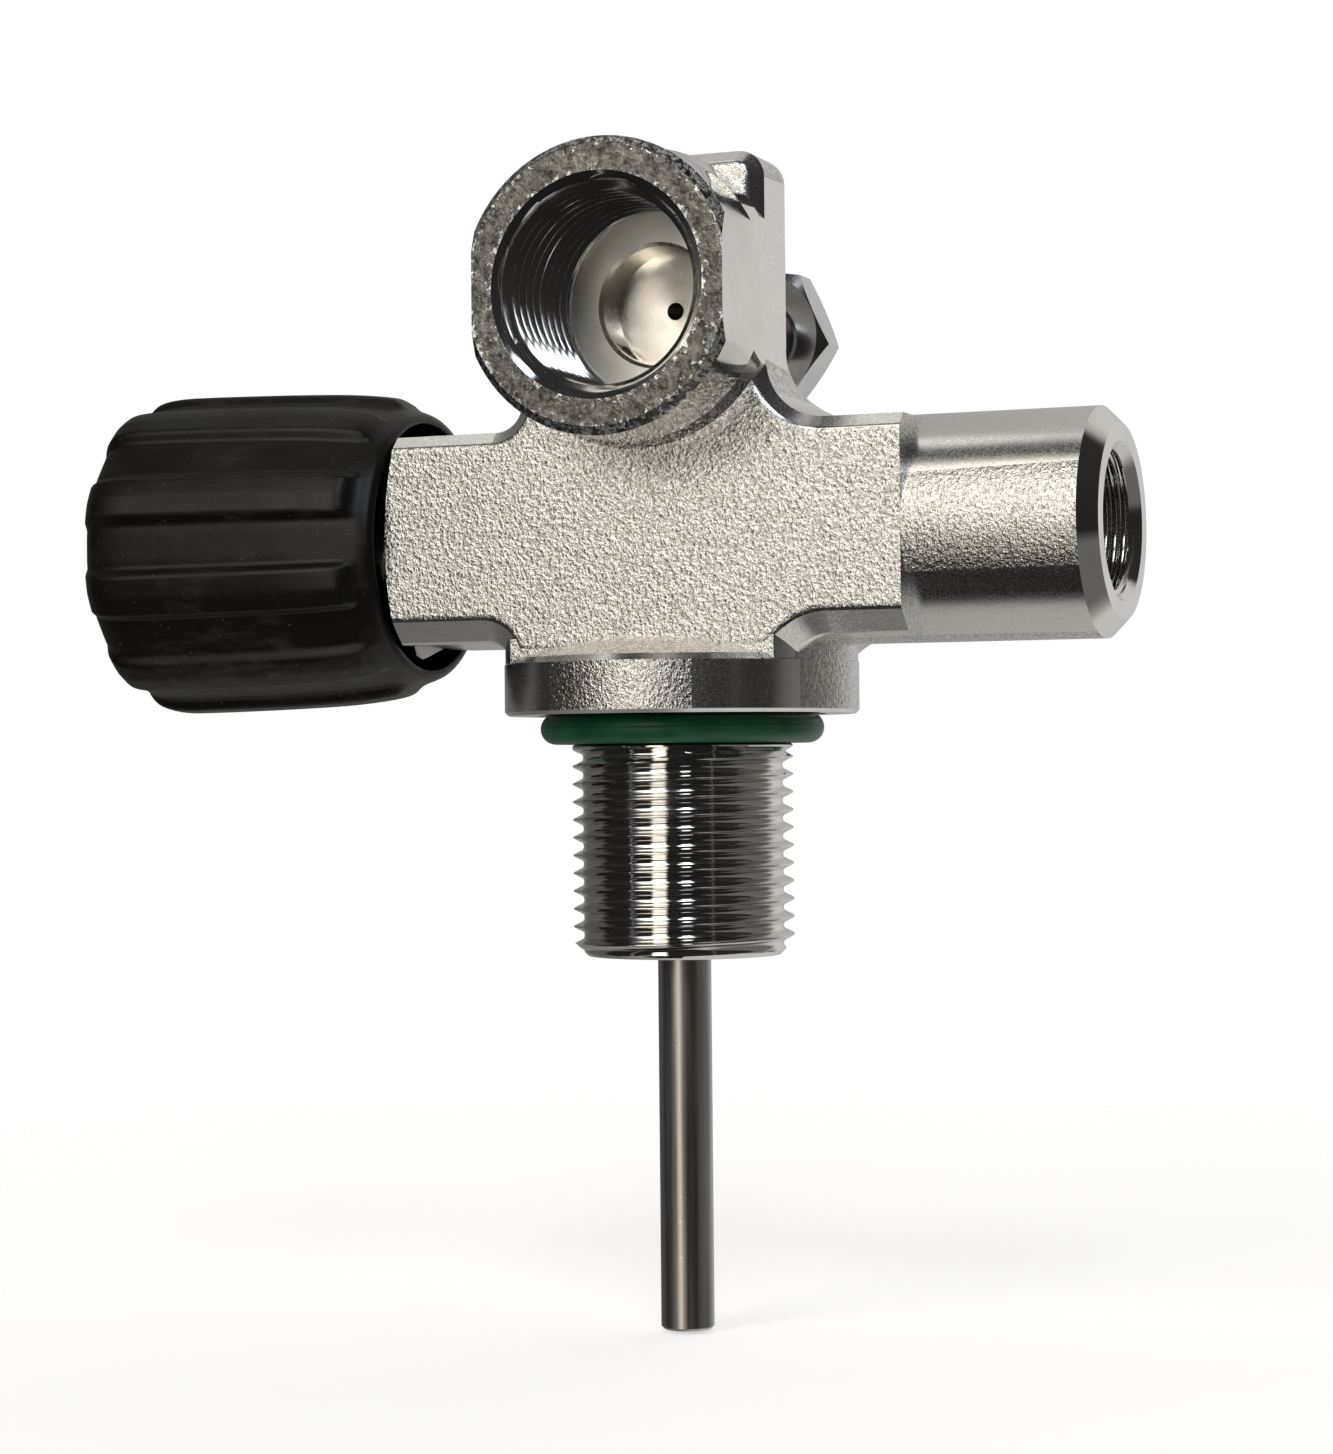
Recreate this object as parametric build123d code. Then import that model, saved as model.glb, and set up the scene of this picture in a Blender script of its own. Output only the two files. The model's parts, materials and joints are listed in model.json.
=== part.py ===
"""Breathing-gas cylinder valve: a forged body with a screwed neck, an outlet, a side port and a handwheel.

Frame, in millimetres: the origin is on the neck's axis, in the plane of the collar's underside. +Z points up
along the neck, the outlet's mouth faces -Y, the handwheel is at -X and the side port opens towards +X.
"""

import os
from math import cos, radians, sin, sqrt

from build123d import *

# --- neck, collar and dip tube, on the Z axis ---
NECK_R = 12.45
NECK_PITCH = 2.0
NECK_THREAD_TOP = -3.5
NECK_THREAD_TURNS = 11
NECK_END = -27.0
NECK_CHAMFER = 1.4
COLLAR_R = 20.0
COLLAR_H = 6.4
COLLAR_CREST = 8.5
NECK_RELIEF_R = 12.2
SEAL_RECESS_R = 16.3
SEAL_RECESS = 0.3
O_RING_WIRE_R = 1.75
O_RING_R = 14.25
TUBE_R = 3.0
TUBE_BORE_R = 2.1
TUBE_END = -69.0
TUBE_TOP = -14.0
STATIC_GAP = 0.03

# --- forged bar and block ---
ARM_Z = 20.0
BODY_HALF_Y = 12.5
ARM_BOTTOM = 8.2
ARM_TOP = 31.7
ARM_LEFT = -31.0
KEEL_Z = 4.6
KEEL_LEFT = -17.8
KEEL_RIGHT = 19.6
BLOCK_RIGHT = 30.0
BOTTOM_CHAMFER = 2.8
TOP_CHAMFER = 1.5
FORGED_EDGE_R = 1.0
ARM_TURNED_R = 12.9
ARM_TURNED_DEPTH = 1.6
BLOCK_HALF_X = 14.5
BLOCK_TOP = 61.0
RELIEF_TOP_R = 3.0

# --- outlet, on an axis along Y ---
OUTLET_Z = 45.5
OUTLET_MOUTH = -24.0
OUTLET_R = 16.0
OUTLET_FOOT_R = 16.5
OUTLET_MINOR_R = 10.3
OUTLET_MAJOR_R = 11.46
OUTLET_PITCH = 1.814
OUTLET_TURNS = 8
OUTLET_MOUTH_R = 12.2
OUTLET_SEAT_Y = -6.5
OUTLET_INNER_R = 6.65
OUTLET_INNER_END = -1.2
OUTLET_CONE_END = -0.9
REAR_GAS_R = 1.0

# --- rear boss and its hexagon plug, on the outlet's axis ---
REAR_BOSS_R = 4.8
REAR_BOSS_FOOT_R = 5.4
REAR_BOSS_END = 23.0
REAR_PORT_R = 3.3
REAR_PORT_DEPTH = 12.0
REAR_GASKET_T = 1.5
REAR_GASKET_R = 4.4
PLUG_HEX_AF = 16.0
PLUG_HEX_T = 5.5
PLUG_HEX_TURN = -7.0

# --- side port, on the arm's axis ---
PORT_R = 12.5
PORT_END = 51.0
PORT_FACE_R = 10.6
PORT_CONE = 1.1
PORT_CORNER = 0.8
PORT_MINOR_R = 7.45
PORT_MAJOR_R = 8.0
PORT_PITCH = 1.0
PORT_TURNS = 12
PORT_FLOOR = 35.5
GALLERY_R = 3.0

# --- valve chamber, bonnet and spindle, on the arm's axis ---
BONNET_BORE_R = 9.5
BONNET_BORE_END = -19.0
CARRIER_BORE_R = 7.0
CARRIER_BORE_END = -8.2
CHAMBER_R = 5.4
CHAMBER_END = -3.5
NOZZLE_R = 3.4
NOZZLE_TIP = -4.5
ORIFICE_R = 2.4
DUCT_X = -5.3
DUCT_Y = -3.5
DUCT_R = 1.6
RUNNING_GAP = 0.05
STEM_R = 4.0
STEM_SHOULDER_R = 7.5
BONNET_INNER = -24.2
BONNET_FLANGE_T = 4.5
BONNET_SPIGOT_END = -38.5
SQUARE = 7.0

# --- handwheel, on the arm's axis ---
WHEEL_OPEN = -31.3
WHEEL_END = -69.0
WHEEL_R = 18.9
WHEEL_RIM_R = 17.4
WHEEL_RECESS_R = 14.3
RIB_COUNT = 10
RIB_WIDTH_DEG = 17.0
RIB_HEIGHT = 1.2
RIB_END = -33.4
GRIP_WAIST_X = -44.0
WEB_INNER = -50.0
WEB_OUTER = -55.5

ARM_AXIS = Axis((0, 0, ARM_Z), (1, 0, 0))
OUTLET_AXIS = Axis((0, 0, OUTLET_Z), (0, 1, 0))

nodes = {}


def turned_x(points):
    """A solid of revolution on the arm's axis from (x, radius) corners."""
    corners = [(x, 0, ARM_Z + r) for x, r in points]
    return revolve(make_face(Polyline(*corners, close=True)), ARM_AXIS, 360)


def turned_y(points):
    """A solid of revolution on the outlet's axis from (y, radius) corners."""
    corners = [(0, y, OUTLET_Z + r) for y, r in points]
    return revolve(make_face(Polyline(*corners, close=True)), OUTLET_AXIS, 360)


def turned_z(points):
    """A solid of revolution on the neck's axis from (z, radius) corners."""
    corners = [(r, 0, z) for z, r in points]
    return revolve(make_face(Polyline(*corners, close=True)), Axis.Z, 360)


def rod_x(x0, x1, r):
    return turned_x([(x0, 0), (x0, r), (x1, r), (x1, 0)])


def ring_x(x0, x1, outer, inner):
    return turned_x([(x0, inner), (x0, outer), (x1, outer), (x1, inner)])


def o_ring_x(x, ring_r, wire_r):
    """A round seal lying in a plane across the arm's axis."""
    section = Plane((x, 0, ARM_Z + ring_r), x_dir=(1, 0, 0), z_dir=(0, 1, 0)) * Circle(wire_r)
    return revolve(section, ARM_AXIS, 360)


def hexagon_x(x0, x1, across_flats, turn=0.0):
    """A hexagonal prism on the arm's axis."""
    outline = RegularPolygon(across_flats / sqrt(3), 6)
    plane = Plane((x0, 0, ARM_Z), x_dir=(0, 1, 0), z_dir=(1, 0, 0))
    return extrude(plane * Rot(0, 0, turn) * outline, x1 - x0)


def box_x(x0, x1, size_y, size_z):
    """A rectangular bar along the arm's axis."""
    return Pos((x0 + x1) / 2, 0, ARM_Z) * Box(abs(x1 - x0), size_y, size_z)


def ring_grooves(start, turns, pitch, crest_r, root_r):
    """Corners of a row of 60 degree thread grooves, as (place along the axis, radius), from start onwards.

    Each turn runs from a crest flat to a root flat and back.
    """
    crest_flat = pitch / 8
    flank = abs(root_r - crest_r) / sqrt(3)
    root_flat = pitch - crest_flat - 2 * flank
    corners = []
    for turn in range(turns):
        at = start + turn * pitch
        corners += [
            (at + crest_flat, crest_r),
            (at + crest_flat + flank, root_r),
            (at + crest_flat + flank + root_flat, root_r),
            (at + pitch, crest_r),
        ]
    return corners


def body_plate():
    """The forging's front outline, extruded through the body's depth with its edges broken."""
    outline = Polyline(
        (ARM_LEFT, ARM_BOTTOM),
        (KEEL_LEFT, ARM_BOTTOM),
        (KEEL_LEFT + 1.6, KEEL_Z),
        (KEEL_RIGHT - 4.4, KEEL_Z),
        (KEEL_RIGHT, ARM_BOTTOM),
        (BLOCK_RIGHT, ARM_BOTTOM),
        (BLOCK_RIGHT, ARM_TOP),
        (BLOCK_HALF_X, ARM_TOP),
        (BLOCK_HALF_X, BLOCK_TOP),
        (-BLOCK_HALF_X, BLOCK_TOP),
        (-BLOCK_HALF_X, ARM_TOP),
        (ARM_LEFT, ARM_TOP),
        close=True,
    )
    face = make_face(Plane.XZ * outline)
    rounding = {
        (KEEL_LEFT, ARM_BOTTOM): 2.0,
        (KEEL_LEFT + 1.6, KEEL_Z): 3.2,
        (KEEL_RIGHT - 4.4, KEEL_Z): 4.0,
        (KEEL_RIGHT, ARM_BOTTOM): 5.0,
        (BLOCK_HALF_X, ARM_TOP): 6.5,
        (-BLOCK_HALF_X, ARM_TOP): 3.2,
        (BLOCK_HALF_X, BLOCK_TOP): 3.0,
        (-BLOCK_HALF_X, BLOCK_TOP): 3.0,
    }
    for (x, z), radius in rounding.items():
        corner = face.vertices().sort_by_distance(Vector(x, 0, z))[0]
        face = fillet(corner, radius)
    return Pos(0, BODY_HALF_Y, 0) * extrude(face, 2 * BODY_HALF_Y)


def rim_edges(solid, half_y, low, high):
    """The edges at one distance from the plate's middle plane whose middles lie between two heights.

    The plate's upright ends are left out.
    """
    found = []
    for edge in solid.edges():
        middle = edge.position_at(0.5)
        in_the_plane = all(abs(abs((edge @ place).Y) - half_y) < 1e-4 for place in (0, 0.5, 1))
        upright_end = middle.X < ARM_LEFT + 1e-3 or middle.X > BLOCK_RIGHT - 1e-3
        if in_the_plane and low < middle.Z < high and not upright_end:
            found.append(edge)
    return found


def broken_edges(plate):
    """The plate with wide facets below, narrow ones above and soft edges, as forging dies leave it."""
    plate = chamfer(rim_edges(plate, BODY_HALF_Y, 0, ARM_Z), BOTTOM_CHAMFER)
    plate = chamfer(rim_edges(plate, BODY_HALF_Y, ARM_Z, BLOCK_TOP + 1), TOP_CHAMFER)
    plate = fillet(rim_edges(plate, BODY_HALF_Y, 0, BLOCK_TOP + 1), FORGED_EDGE_R)
    return fillet(rim_edges(plate, BODY_HALF_Y - BOTTOM_CHAMFER, 0, ARM_Z), FORGED_EDGE_R)


def rear_relief(side):
    """What is cut from the block's rear corner, with a rounded floor that clears the arm's top."""
    slant = 22.0
    block = Box(20, 40, 40)
    block = fillet(block.edges().filter_by(Axis.Y).group_by(Axis.Z)[0], 6)
    block = Pos(10, 20, 20) * block
    block = Pos(BLOCK_HALF_X, -4.5, ARM_TOP + 2.2) * Rot(0, 0, slant) * block
    return block if side > 0 else mirror(block, Plane.YZ)


def rounded_relief_tops(body):
    """Rounds the two slanted edges where the rear reliefs come out at the block's top."""
    slanted = []
    for edge in body.edges():
        along = (edge @ 1) - (edge @ 0)
        at_top = abs(edge.position_at(0.5).Z - BLOCK_TOP) < 1e-3
        if at_top and abs(along.X) > 0.3 and abs(along.Y) > 0.3:
            slanted.append(edge)
    return fillet(slanted, RELIEF_TOP_R)


def outlet_boss():
    """The round outlet, flattened at both sides and cut back with the block by the rear reliefs."""
    boss = turned_y(
        [
            (10, 0),
            (10, 13.0),
            (-BODY_HALF_Y + 2, OUTLET_FOOT_R),
            (-BODY_HALF_Y, OUTLET_FOOT_R),
            (-BODY_HALF_Y - 2.2, OUTLET_R),
            (OUTLET_MOUTH + 0.9, OUTLET_R),
            (OUTLET_MOUTH, OUTLET_R - 0.9),
            (OUTLET_MOUTH, 0),
        ]
    )
    flats = Pos(0, 0, OUTLET_Z) * Box(2 * BLOCK_HALF_X, 80, 80)
    return (boss & flats) - rear_relief(1) - rear_relief(-1)


def rear_boss():
    return turned_y(
        [
            (2, 0),
            (2, REAR_BOSS_FOOT_R),
            (BODY_HALF_Y, REAR_BOSS_FOOT_R),
            (REAR_BOSS_END - 0.3, REAR_BOSS_R),
            (REAR_BOSS_END, REAR_BOSS_R - 0.3),
            (REAR_BOSS_END, 0),
        ]
    )


def neck_and_collar():
    """The collar, the neck below it with its ring-shaped thread grooves, and the lead-in at its end."""
    grooves = ring_grooves(0, NECK_THREAD_TURNS, NECK_PITCH, NECK_R, NECK_R - 1.2)
    downwards = [(NECK_THREAD_TOP - z, r) for z, r in grooves]
    profile = [
        (COLLAR_CREST, 0),
        (COLLAR_CREST, BODY_HALF_Y + 0.5),
        (COLLAR_H, COLLAR_R - 0.7),
        (COLLAR_H - 0.7, COLLAR_R),
        (0.4, COLLAR_R),
        (0, COLLAR_R - 0.4),
        (0, SEAL_RECESS_R),
        (SEAL_RECESS, SEAL_RECESS_R),
        (SEAL_RECESS, NECK_RELIEF_R),
        (NECK_THREAD_TOP + 0.3, NECK_RELIEF_R),
        (NECK_THREAD_TOP, NECK_R),
        *downwards,
        (NECK_END + NECK_CHAMFER, NECK_R - 0.2),
        (NECK_END, NECK_R - NECK_CHAMFER - 0.2),
        (NECK_END, 0),
    ]
    return turned_z(profile)


def port_barrel():
    return turned_x(
        [
            (10, 0),
            (10, PORT_R),
            (PORT_END - PORT_CONE - PORT_CORNER, PORT_R),
            (PORT_END - PORT_CONE, PORT_R - PORT_CORNER),
            (PORT_END, PORT_FACE_R),
            (PORT_END, 0),
        ]
    )


def outlet_bore():
    """The screwed outlet: mouth chamfer, thread, relief, sealing face, inner bore and rear gas hole."""
    thread_start = OUTLET_MOUTH + 1.9
    grooves = ring_grooves(
        thread_start, OUTLET_TURNS, OUTLET_PITCH, OUTLET_MINOR_R, OUTLET_MAJOR_R - 0.1
    )
    return turned_y(
        [
            (OUTLET_MOUTH - 1, 0),
            (OUTLET_MOUTH - 1, OUTLET_MOUTH_R + 1),
            (thread_start - 0.001, OUTLET_MINOR_R),
            *grooves,
            (OUTLET_SEAT_Y - 0.001, OUTLET_MINOR_R),
            (OUTLET_SEAT_Y, OUTLET_INNER_R + 0.4),
            (OUTLET_SEAT_Y + 0.4, OUTLET_INNER_R),
            (OUTLET_INNER_END, OUTLET_INNER_R),
            (OUTLET_CONE_END, REAR_GAS_R),
            (REAR_BOSS_END - REAR_PORT_DEPTH - 1, REAR_GAS_R),
            (REAR_BOSS_END - REAR_PORT_DEPTH, REAR_PORT_R),
            (REAR_BOSS_END + 1, REAR_PORT_R),
            (REAR_BOSS_END + 1, 0),
        ]
    )


def port_bore():
    """The side port: mouth chamfer, thread, drill point and the gallery to the neck."""
    grooves = ring_grooves(0, PORT_TURNS, PORT_PITCH, PORT_MINOR_R, PORT_MAJOR_R - 0.08)
    inwards = [(PORT_END - 1.3 - x, r) for x, r in grooves]
    return turned_x(
        [
            (PORT_END + 1, 0),
            (PORT_END + 1, PORT_MAJOR_R + 1.5),
            (PORT_END - 1.3, PORT_MINOR_R),
            *inwards,
            (PORT_FLOOR + 1.2, PORT_MINOR_R),
            (PORT_FLOOR, GALLERY_R),
            (-1.5, GALLERY_R),
            (-1.5, 0),
        ]
    )


def chamber_bore():
    """The bonnet thread, the carrier's guide and the chamber around the nozzle, from the left end inwards."""
    return turned_x(
        [
            (ARM_LEFT - 1, 0),
            (ARM_LEFT - 1, BONNET_BORE_R + 1.6),
            (ARM_LEFT + 0.8, BONNET_BORE_R),
            (BONNET_BORE_END, BONNET_BORE_R),
            (BONNET_BORE_END, CARRIER_BORE_R),
            (CARRIER_BORE_END, CARRIER_BORE_R),
            (CARRIER_BORE_END, CHAMBER_R),
            (CHAMBER_END, CHAMBER_R),
            (CHAMBER_END, NOZZLE_R),
            (NOZZLE_TIP, ORIFICE_R + 0.3),
            (NOZZLE_TIP, ORIFICE_R),
            (0, ORIFICE_R),
            (0, 0),
        ]
    )


def neck_bore():
    return turned_z(
        [
            (NECK_END - 1, 0),
            (NECK_END - 1, TUBE_R + STATIC_GAP),
            (TUBE_TOP, TUBE_R + STATIC_GAP),
            (TUBE_TOP + 0.8, TUBE_BORE_R),
            (ARM_Z, TUBE_BORE_R),
            (ARM_Z, 0),
        ]
    )


def collar_shoulder():
    """What carries the collar's round wall up to the arms' undersides, between the front and back faces."""
    low, radius = COLLAR_H - 3, COLLAR_R - 0.1
    disc = turned_z([(low, 0), (low, radius), (COLLAR_CREST, radius), (COLLAR_CREST, 0)])
    return disc & Box(2 * COLLAR_R, 2 * BODY_HALF_Y - 0.2, 4 * COLLAR_CREST)


def arm_end_turning():
    """What a lathe cut takes from the left arm's corners, so that the handwheel clears them."""
    return turned_x(
        [
            (ARM_LEFT - 1, ARM_TURNED_R - 1.2),
            (ARM_LEFT - 1, 30),
            (ARM_LEFT + ARM_TURNED_DEPTH, 30),
            (ARM_LEFT + ARM_TURNED_DEPTH, ARM_TURNED_R + 5.1),
            (ARM_LEFT + ARM_TURNED_DEPTH / 3, ARM_TURNED_R + 1.6),
            (ARM_LEFT, ARM_TURNED_R - 0.3),
        ]
    )


def valve_body():
    body = broken_edges(body_plate())
    body -= rear_relief(1)
    body -= rear_relief(-1)
    body = rounded_relief_tops(body)
    body -= arm_end_turning()
    body += neck_and_collar()
    body += collar_shoulder()
    body += port_barrel()
    body += outlet_boss()
    body += rear_boss()
    body -= outlet_bore()
    body -= port_bore()
    body -= chamber_bore()
    body -= neck_bore()
    duct_foot = ARM_Z + 3
    duct_top = OUTLET_Z - OUTLET_INNER_R + 2.8
    duct = Pos(DUCT_X, DUCT_Y, (duct_foot + duct_top) / 2) * Cylinder(DUCT_R, duct_top - duct_foot)
    return body - duct


def neck_pieces():
    ring_z = SEAL_RECESS - O_RING_WIRE_R - 0.04
    section = Plane((O_RING_R, 0, ring_z), x_dir=(1, 0, 0), z_dir=(0, 1, 0))
    nodes["neck_o_ring"] = revolve(section * Circle(O_RING_WIRE_R), Axis.Z, 360)
    nodes["dip_tube"] = turned_z(
        [
            (TUBE_TOP - 0.1, TUBE_BORE_R),
            (TUBE_TOP - 0.1, TUBE_R - 0.3),
            (TUBE_TOP - 0.4, TUBE_R),
            (TUBE_END + 0.3, TUBE_R),
            (TUBE_END, TUBE_R - 0.3),
            (TUBE_END, TUBE_BORE_R),
        ]
    )


def rear_plug_pieces():
    """The plug that shuts the passage drilled from the back, with its gasket under the hexagon."""
    hex_start = REAR_BOSS_END + REAR_GASKET_T
    hex_end = hex_start + PLUG_HEX_T
    corner_r = PLUG_HEX_AF / sqrt(3)
    outline = RegularPolygon(corner_r, 6)
    plane = Plane((0, hex_start, OUTLET_Z), x_dir=(1, 0, 0), z_dir=(0, -1, 0))
    head = extrude(plane * Rot(0, 0, PLUG_HEX_TURN) * outline, -PLUG_HEX_T)
    cone = 1.0
    envelope = turned_y(
        [
            (hex_start, 0),
            (hex_start, PLUG_HEX_AF / 2 - 0.1),
            (hex_start + cone, corner_r + 0.1),
            (hex_end - cone, corner_r + 0.1),
            (hex_end, PLUG_HEX_AF / 2 - 0.1),
            (hex_end, 0),
        ]
    )
    shank_end = REAR_BOSS_END - REAR_PORT_DEPTH + 2
    shank = turned_y(
        [
            (shank_end, 0),
            (shank_end, REAR_PORT_R - 0.6),
            (shank_end + 0.6, REAR_PORT_R - STATIC_GAP),
            (hex_start + 1, REAR_PORT_R - STATIC_GAP),
            (hex_start + 1, 0),
        ]
    )
    nodes["rear_plug"] = (head & envelope) + shank
    nodes["rear_plug_gasket"] = turned_y(
        [
            (REAR_BOSS_END, REAR_PORT_R + 0.1),
            (REAR_BOSS_END, REAR_GASKET_R),
            (hex_start, REAR_GASKET_R),
            (hex_start, REAR_PORT_R + 0.1),
        ]
    )


def bonnet_pieces():
    """The screwed bonnet, which carries the spindle, with the seals and washers that stay still in it."""
    flange_end = ARM_LEFT - BONNET_FLANGE_T
    groove = 2.2
    groove_r = STEM_R + 1.5
    groove_a = -27.5
    groove_b = -31.5
    bore = STEM_R + RUNNING_GAP
    shell = turned_x(
        [
            (BONNET_INNER, bore),
            (BONNET_INNER, BONNET_BORE_R - 1.0),
            (BONNET_INNER - 0.8, BONNET_BORE_R - STATIC_GAP),
            (ARM_LEFT + 2.6, BONNET_BORE_R - STATIC_GAP),
            (ARM_LEFT + 2.6, BONNET_BORE_R - 1.5),
            (ARM_LEFT, BONNET_BORE_R - 1.5),
            (ARM_LEFT, BONNET_BORE_R + 1.0),
            (flange_end, BONNET_BORE_R + 1.0),
            (flange_end, 7.4),
            (BONNET_SPIGOT_END + 0.5, 7.4),
            (BONNET_SPIGOT_END, 6.9),
            (BONNET_SPIGOT_END, bore),
            (groove_b - groove, bore),
            (groove_b - groove, groove_r),
            (groove_b, groove_r),
            (groove_b, bore),
            (groove_a - groove, bore),
            (groove_a - groove, groove_r),
            (groove_a, groove_r),
            (groove_a, bore),
        ]
    )
    flange_hex = hexagon_x(flange_end, ARM_LEFT, 24.0, 15)
    flange_hex -= rod_x(flange_end - 1, ARM_LEFT + 1, BONNET_BORE_R + 0.5)
    rim = turned_x(
        [
            (flange_end, 0),
            (flange_end, 12.0),
            (flange_end + 1.0, 13.4),
            (ARM_LEFT - 0.2, 13.4),
            (ARM_LEFT, 13.0),
            (ARM_LEFT, 0),
        ]
    )
    nodes["bonnet_nut"] = shell + (flange_hex & rim)
    nodes["bonnet_o_ring"] = o_ring_x(ARM_LEFT + 1.3, BONNET_BORE_R - 0.76, 0.68)
    for name, start in (("stem_o_ring_inner", groove_a), ("stem_o_ring_outer", groove_b)):
        nodes[name] = o_ring_x(start - 0.85, STEM_R + 0.8, 0.7)
    for name, start in (("backup_ring_inner", groove_a), ("backup_ring_outer", groove_b)):
        nodes[name] = ring_x(start - groove + 0.02, start - 1.63, groove_r - 0.05, STEM_R + 0.12)
    nodes["thrust_washer"] = ring_x(BONNET_INNER + 0.02, BONNET_INNER + 0.82, 8.0, STEM_R + 0.15)


def spindle():
    """The driving spindle: tang, shoulder, sealed shaft, square for the handwheel and screwed end."""
    shoulder_outer = BONNET_INNER + 0.9
    shoulder_inner = shoulder_outer + 2.4
    square_end = WEB_OUTER + 0.4
    shaft = turned_x(
        [
            (-39.3, 0),
            (-39.3, STEM_R),
            (shoulder_outer, STEM_R),
            (shoulder_outer, STEM_SHOULDER_R),
            (shoulder_inner, STEM_SHOULDER_R),
            (shoulder_inner, 0),
        ]
    )
    tang = box_x(shoulder_inner - 0.1, -15.2, 2.4, 9.0) & rod_x(-30, 0, 5.2)
    square = box_x(-39.2, square_end, SQUARE, SQUARE) & rod_x(-60, -30, 4.7)
    screw = rod_x(square_end + 0.1, -63.0, 3.0)
    return shaft + tang + square + screw


def seat_pieces():
    """The screwed carrier with its driving slot, the soft seat and the ring that holds the seat in it."""
    left = -17.4
    nose = -8.7
    face = -5.6
    carrier = turned_x(
        [
            (left, 0),
            (left, CARRIER_BORE_R - 0.6),
            (left + 0.6, CARRIER_BORE_R - RUNNING_GAP),
            (nose, CARRIER_BORE_R - RUNNING_GAP),
            (nose, 4.7),
            (face, 4.7),
            (face, 4.0),
            (-7.4, 4.0),
            (-7.4, 0),
        ]
    )
    slot = box_x(left - 1, left + 5.4, 2.6, 20)
    nodes["seat_carrier"] = carrier - slot
    nodes["seat_insert"] = turned_x(
        [
            (-7.38, 0),
            (-7.38, 3.95),
            (-6.1, 3.95),
            (-6.1, 3.55),
            (NOZZLE_TIP - 0.03, 3.55),
            (NOZZLE_TIP - 0.03, 0),
        ]
    )
    nodes["seat_retaining_ring"] = ring_x(-6.07, face, 3.95, 3.6)


def lobed(profile, rib_profile):
    """A revolved shell with ribs along it, each a slice of a larger revolved shell."""
    shell = turned_x(profile)
    ribs = turned_x(rib_profile)
    reach = 30
    half = radians(RIB_WIDTH_DEG / 2)
    wedge_face = make_face(
        Polyline(
            (WHEEL_END - 1, 0, ARM_Z),
            (WHEEL_END - 1, -reach * sin(half), ARM_Z + reach * cos(half)),
            (WHEEL_END - 1, reach * sin(half), ARM_Z + reach * cos(half)),
            close=True,
        )
    )
    wedge = extrude(wedge_face, 45, dir=(1, 0, 0))
    for number in range(RIB_COUNT):
        shell += ribs & wedge.rotate(ARM_AXIS, 360 / RIB_COUNT * number)
    return shell


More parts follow.
